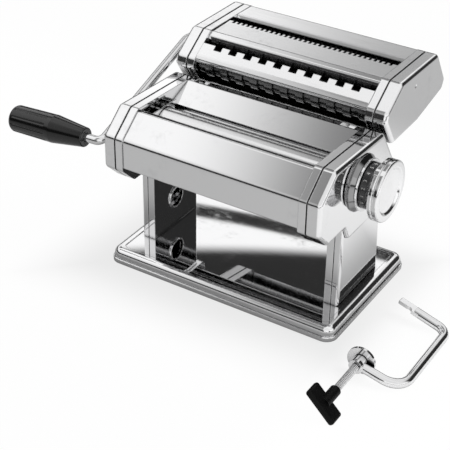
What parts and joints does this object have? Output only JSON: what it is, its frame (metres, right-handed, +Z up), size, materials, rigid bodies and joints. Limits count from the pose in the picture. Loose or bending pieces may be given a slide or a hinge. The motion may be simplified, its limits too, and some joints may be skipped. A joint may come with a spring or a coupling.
{
  "type": "pasta machine",
  "caption": "Hand-cranked steel pasta machine on a tray base, with smooth rollers, a thickness dial, a twin noodle cutter on the back and a loose table clamp.",
  "frame": {"origin": "on the table, under the centre of the base", "axes": "+X towards the thickness knob, +Y from the hopper to the cutter, +Z up"},
  "size_m": [0.3565, 0.2662, 0.1675],
  "materials": {
    "polished_steel": "polished",
    "satin_steel": "satin",
    "machined_steel": "machined",
    "grip_black": "gloss",
    "wing_black": "matte",
    "dial_black": "gloss",
    "foot_rubber": "matte",
    "bush_bronze": "machined"
  },
  "bodies": {
    "machine": {"base_plate": "polished_steel", "base_feet": "foot_rubber", "left_leg": "polished_steel", "right_leg": "polished_steel", "left_leg_cover": "polished_steel", "right_leg_cover": "polished_steel", "left_frame": "polished_steel", "right_frame": "polished_steel", "left_cover": "polished_steel", "right_cover": "polished_steel", "crank_bush": "polished_steel", "front_plate": "polished_steel", "hopper_plate": "polished_steel", "back_plate": "polished_steel", "body_rails": "satin_steel", "dough_guides": "satin_steel", "roller_scrapers": "satin_steel", "tie_rods": "machined_steel", "tie_nuts": "machined_steel", "roller_bushes": "bush_bronze", "dial_boss": "polished_steel", "dial_ring": "polished_steel"},
    "driven": {"driven_roller": "satin_steel", "driven_gear": "machined_steel"},
    "axle": {"eccentric_axle": "machined_steel", "axle_gear": "machined_steel"},
    "sleeves": {"axle_sleeves": "bush_bronze"},
    "gap": {"gap_roller": "satin_steel", "gap_gear": "machined_steel"},
    "adjuster": {"knob_spindle": "machined_steel", "knob_spring": "machined_steel"},
    "knob": {"dial_band": "dial_black", "index_pin": "machined_steel", "knob_grip": "polished_steel"},
    "cutter": {"cutter_left_plate": "satin_steel", "cutter_right_plate": "satin_steel", "cutter_left_cover": "satin_steel", "cutter_right_cover": "satin_steel", "cutter_front_plate": "satin_steel", "cutter_mid_plate": "satin_steel", "cutter_back_plate": "satin_steel", "cutter_bushes": "bush_bronze", "cutter_combs": "satin_steel", "cutter_tie_rods": "machined_steel", "cutter_mount_bar": "satin_steel"},
    "wide_driver": {"wide_driver_roller": "machined_steel", "wide_driver_gear": "machined_steel"},
    "wide_mate": {"wide_mate_roller": "machined_steel", "wide_mate_gear": "machined_steel"},
    "fine_driver": {"fine_driver_roller": "machined_steel", "fine_driver_gear": "machined_steel"},
    "fine_mate": {"fine_mate_roller": "machined_steel", "fine_mate_gear": "machined_steel"},
    "crank": {"crank_rod": "polished_steel"},
    "grip": {"crank_grip": "grip_black"},
    "clamp": {"clamp_frame": "polished_steel"},
    "pad": {"clamp_pad": "satin_steel"},
    "screw": {"clamp_screw": "polished_steel", "wing_knob": "wing_black"}
  },
  "joints": [
    {"name": "roller_turn", "type": "hinge", "parent": "machine", "child": "driven", "pos_m": [0, -0.027, 0.1192], "axis": [1, 0, 0], "continuous": true},
    {"name": "thickness_dial", "type": "hinge", "parent": "machine", "child": "adjuster", "pos_m": [0.0926, -0.014, 0.1135], "axis": [1, 0, 0], "range_deg": [0, 170]},
    {"name": "axle_turn", "type": "hinge", "parent": "machine", "child": "axle", "pos_m": [0, 0.00021, 0.11421], "axis": [1, 0, 0], "range_deg": [-170, 0]},
    {"name": "sleeve_hold", "type": "hinge", "parent": "axle", "child": "sleeves", "pos_m": [0, 0.00119, 0.11403], "axis": [1, 0, 0], "range_deg": [0, 170]},
    {"name": "gap_roller_turn", "type": "hinge", "parent": "sleeves", "child": "gap", "pos_m": [0, 0.00119, 0.11403], "axis": [1, 0, 0], "continuous": true},
    {"name": "knob_pull", "type": "slide", "parent": "adjuster", "child": "knob", "axis": [1, 0, 0], "range_m": [0, 0.004], "stiffness_N_per_m": 800, "deforming": ["knob_spring"]},
    {"name": "cutter_lift", "type": "slide", "parent": "machine", "child": "cutter", "axis": [0, -0.5577, 0.83], "range_m": [0, 0.06]},
    {"name": "wide_turn", "type": "hinge", "parent": "cutter", "child": "wide_driver", "pos_m": [0, 0.05448, 0.1546], "axis": [1, 0, 0], "continuous": true},
    {"name": "wide_mate_turn", "type": "hinge", "parent": "cutter", "child": "wide_mate", "pos_m": [0, 0.036, 0.1455], "axis": [1, 0, 0], "continuous": true},
    {"name": "fine_turn", "type": "hinge", "parent": "cutter", "child": "fine_driver", "pos_m": [0, 0.07451, 0.14597], "axis": [1, 0, 0], "continuous": true},
    {"name": "fine_mate_turn", "type": "hinge", "parent": "cutter", "child": "fine_mate", "pos_m": [0, 0.09511, 0.14597], "axis": [1, 0, 0], "continuous": true},
    {"name": "crank_pull", "type": "slide", "parent": "wide_driver", "child": "crank", "axis": [-1, 0, 0], "range_m": [0, 0.03]},
    {"name": "grip_turn", "type": "hinge", "parent": "crank", "child": "grip", "pos_m": [-0.1, -0.06796, 0.11243], "axis": [-0.9986, 0, -0.0523], "continuous": true},
    {"name": "clamp_lift", "type": "slide", "parent": "machine", "child": "clamp", "axis": [0, 0, 1], "range_m": [0, 0.05]},
    {"name": "pad_travel", "type": "slide", "parent": "clamp", "child": "pad", "axis": [0, 1, 0], "range_m": [0, 0.028]},
    {"name": "screw_turn", "type": "hinge", "parent": "pad", "child": "screw", "pos_m": [0.1336, -0.0836, 0.0114], "axis": [0, 1, 0], "range_deg": [0, 6720]}
  ],
  "couplings": [
    {"joint": "axle_turn", "follows": "thickness_dial", "ratio": -1},
    {"joint": "sleeve_hold", "follows": "thickness_dial", "ratio": 1},
    {"joint": "gap_roller_turn", "follows": "roller_turn", "ratio": -1},
    {"joint": "wide_mate_turn", "follows": "wide_turn", "ratio": -1},
    {"joint": "fine_mate_turn", "follows": "fine_turn", "ratio": -1},
    {"joint": "screw_turn", "follows": "pad_travel", "rad_per_m": 4188.8}
  ]
}
